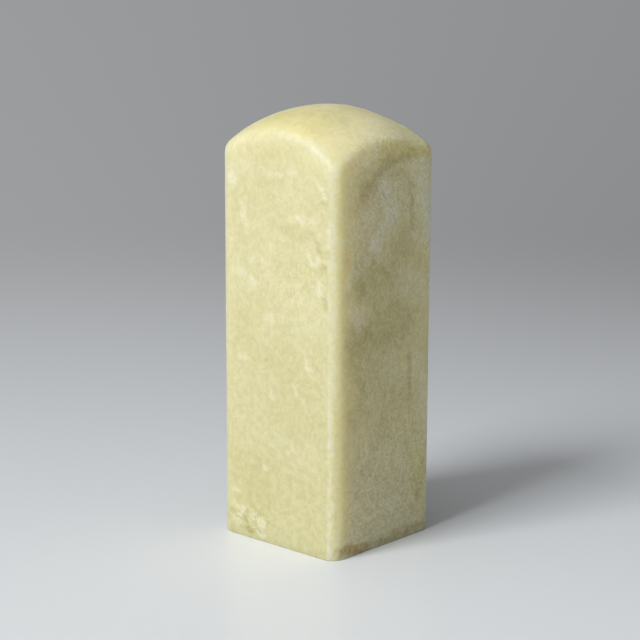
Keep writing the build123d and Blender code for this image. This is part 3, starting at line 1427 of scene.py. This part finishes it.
@dataclass
class SealStone:
    """The whole stone as it is seen: post, dome and printing face in one closed mesh."""

    sizes: StoneSizes
    node: str = "seal_stone"
    name: str = "waxed_seal_stone"
    wave_depth: float = 0.045 * MM
    wave_length: float = 9.0 * MM
    base_wear: float = 0.14 * MM
    base_wear_length: float = 1.7 * MM
    base_wear_reach: float = 0.35 * MM
    base_wear_least: float = 0.1
    crease_angle: float = math.radians(50.0)

    def build(self) -> bpy.types.Object:
        """Models the stone.

        Returns:
            The stone's object, at the origin.
        """
        bm = bmesh.new()
        face = PrintingFace(self.sizes)
        post = DomedPost(self.sizes, side_cells=face.side_cells)
        face.build(bm, post.build(bm))
        bmesh.ops.recalc_face_normals(bm, faces=bm.faces)
        self._lap_unevenly(bm)
        mesh = mesh_from(bm, self.name)
        mesh.shade_smooth()
        mesh.set_sharp_from_angle(angle=self.crease_angle)
        StoneMarks(self.sizes).paint(mesh)
        return put_in_scene(self.name, mesh)

    def _lap_unevenly(self, bm: bmesh.types.BMesh) -> None:
        """Takes a little more stone off in some places than in others, as lapping and wear do.

        Args:
            bm: The whole stone's mesh.
        """
        bm.normal_update()
        moves = []
        outline = self.sizes.outline
        for vert in bm.verts:
            from_edge = max(vert.co.z, outline.depth_inside(vert.co)) / self.base_wear_reach
            if from_edge < 1.0:
                chance = noise.noise(vert.co / self.base_wear_length)
                chip = self.base_wear * max(0.0, chance - self.base_wear_least)
                moves.append((vert, vert.co - chip * (1.0 - from_edge) * vert.normal))
            elif vert.co.z > self.sizes.edge_break:
                wave = (1.0 + noise.noise(vert.co / self.wave_length)) / 2
                moves.append((vert, vert.co - self.wave_depth * wave * vert.normal))
        for vert, where in moves:
            vert.co = where

    def dress(self, piece: bpy.types.Object) -> None:
        """Gives the stone its finish and its place in the frame."""
        stone = CloudyStone().group()
        piece.data.materials.append(WaxedFinish().material(stone))
        piece.data.materials.append(CutFinish().material(stone))
        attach(piece, "root")
        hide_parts(self.node)


@dataclass(frozen=True)
class Lamp:
    """A soft rectangular lamp that is aimed at the stone."""

    name: str
    around: float
    above: float
    width: float
    height: float
    power: float
    distance: float = 1.3

    def hang(self, target: Vector) -> None:
        """Hangs the lamp.

        Args:
            target: The point that it is aimed at.
        """
        lamp = bpy.data.lights.new(self.name, "AREA")
        lamp.shape = "RECTANGLE"
        lamp.size = self.width
        lamp.size_y = self.height
        lamp.energy = self.power
        towards = direction(self.around, self.above)
        place = Matrix.Translation(target + self.distance * towards)
        put_in_scene(self.name, lamp).matrix_world = place @ aim(towards)


@dataclass(frozen=True)
class Ceiling:
    """Wide, soft light from the studio's ceiling, which reaches the far floor too."""

    around: float = -7.0
    above: float = 80.0
    spread: float = math.radians(50.0)
    power: float = 0.63

    def hang(self) -> None:
        """Hangs the light."""
        lamp = bpy.data.lights.new("ceiling", "SUN")
        lamp.energy = self.power
        lamp.angle = self.spread
        put_in_scene("ceiling", lamp).matrix_world = aim(direction(self.around, self.above))


@dataclass(frozen=True)
class PaperSweep:
    """The pale, faintly glossy floor, painted a little lighter towards the front. Away from the
    stone it fades to painted shade: a glowing grey, darker towards the right, in place of the
    studio's light falling off.
    """

    radius: float = 12.0
    rim_points: int = 96
    paper: Colour = linear(228, 232, 236)
    # Painted light: the paper towards the front is painted a little lighter
    paper_painted_lighter: Colour = linear(232, 235, 238)
    towards_front: Triple = (0.674, -0.739, 0.0)
    near_edge: Pair = (-0.02, 0.06)
    # Painted shade: the far floor glows at these greys, darker towards the right
    far_left_painted_shade: Colour = linear(158, 159, 161)
    far_right_painted_shade: Colour = linear(139, 140, 142)
    rightwards: Triple = (0.739, 0.674, 0.0)
    far_edge: Pair = (-0.45, 0.45)
    pool_centre: Triple = (0.098, -0.169, 0.0)
    pool_edge: Pair = (0.15, 0.54)
    gloss_ior: float = 1.2
    gloss_roughness: float = 0.28

    def lay(self) -> None:
        """Lays the floor."""
        bm = bmesh.new()
        bmesh.ops.create_circle(bm, cap_ends=True, segments=self.rim_points, radius=self.radius)
        mesh = mesh_from(bm, "paper_sweep")
        mesh.materials.append(self._material())
        floor = put_in_scene("paper_sweep", mesh)
        floor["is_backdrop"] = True

    def _material(self) -> bpy.types.Material:
        """Lit paper round the stone, painted a little lighter towards the front, and further out a
        glowing grey that is painted shade, darker towards the right.

        Returns:
            The material.
        """
        material, pad = new_material("pale_paper")
        here = pad.here()
        away = pad.measure("DISTANCE", here, self.pool_centre)
        rightness = pad.measure("DOT_PRODUCT", pad.vector("NORMALIZE", here), self.rightwards)
        nearness = pad.measure("DOT_PRODUCT", here, self.towards_front)
        grey = pad.mix(pad.fade(rightness, *self.far_edge), self.far_left_painted_shade, self.far_right_painted_shade)
        paper = pad.mix(pad.fade(nearness, *self.near_edge), self.paper, self.paper_painted_lighter)
        inputs = {"Base Color": paper, "Roughness": self.gloss_roughness, "IOR": self.gloss_ior}
        lit = pad.add("ShaderNodeBsdfPrincipled", inputs).outputs[0]
        # Painted shade: the far floor is a glowing grey, not lit paper
        dim = pad.add("ShaderNodeEmission", {"Color": grey}).outputs[0]
        both = pad.add("ShaderNodeMixShader", {0: pad.fade(away, *self.pool_edge), 1: lit, 2: dim})
        pad.add("ShaderNodeOutputMaterial", {"Surface": both.outputs[0]})
        return material


@dataclass(frozen=True)
class StudioSky:
    """A little even light from all round."""

    tint: Colour = linear(252, 253, 255)
    strength: float = 0.1

    def spread(self) -> None:
        """Fills the world with it."""
        world = bpy.data.worlds.new("studio_sky")
        bpy.context.scene.world = world
        world.use_nodes = True
        pad = NodePad(world.node_tree)
        sky = pad.add("ShaderNodeBackground", {"Color": self.tint, "Strength": self.strength})
        pad.add("ShaderNodeOutputWorld", {"Surface": sky.outputs[0]})


@dataclass(frozen=True)
class StudioCamera:
    """The camera, which looks at the stone at the photograph's angle."""

    lens: float = 101.25
    sensor_width: float = 36.0
    around: float = 42.38
    above: float = 11.714
    distance: float = 293.65 * MM
    lift: float = 0.18 * MM
    leftwards: float = 1.23 * MM
    tilt: float = math.radians(0.2)

    def aim_at(self, middle: Vector) -> None:
        """Sets the camera up.

        Args:
            middle: The middle of the stone.
        """
        camera = bpy.data.cameras.new("camera")
        camera.lens = self.lens
        camera.sensor_width = self.sensor_width
        back = direction(self.around, self.above)
        right = Vector((0.0, 0.0, 1.0)).cross(back).normalized()
        target = middle + Vector((0.0, 0.0, self.lift)) - self.leftwards * right
        place = Matrix.Translation(target + self.distance * back)
        holder = put_in_scene("camera", camera)
        holder.matrix_world = place @ aim(back) @ Matrix.Rotation(self.tilt, 4, "Z")
        bpy.context.scene.camera = holder


@dataclass(frozen=True)
class Studio:
    """The floor, the lamps and the camera."""

    floor: PaperSweep = PaperSweep()
    sky: StudioSky = StudioSky()
    ceiling: Ceiling = Ceiling()
    key: Lamp = Lamp("softbox", around=-6.5, above=41.0, width=0.52, height=0.7, power=14.8)
    camera: StudioCamera = StudioCamera()

    def build(self, sizes: StoneSizes) -> None:
        """Sets up the studio round the stone.

        Args:
            sizes: The stone's sizes.
        """
        middle = Vector((0.0, 0.0, sizes.height / 2))
        self.floor.lay()
        self.sky.spread()
        self.ceiling.hang()
        self.key.hang(middle)
        self.camera.aim_at(middle)
        log.info("the studio has its floor, lamps and camera")


def main() -> None:
    """Builds the seal and the studio round it, and works out the size of both models."""
    logging.basicConfig(level=logging.INFO, format="%(name)s: %(message)s")
    bpy.context.scene.view_settings.view_transform = "Standard"
    noise.seed_set(NOISE_SEED)
    sizes = StoneSizes.of_node("seal_stone")
    stone = SealStone(sizes)
    piece = stone.build()
    stone.dress(piece)
    log.info("%s has %d faces", piece.name, len(piece.data.polygons))
    Studio().build(sizes)
    boxes = {"cad": CAD_BOX, "visual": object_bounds()}
    boxes = {model: [list(corner) for corner in box] for model, box in boxes.items()}


if __name__ == "__main__":
    main()
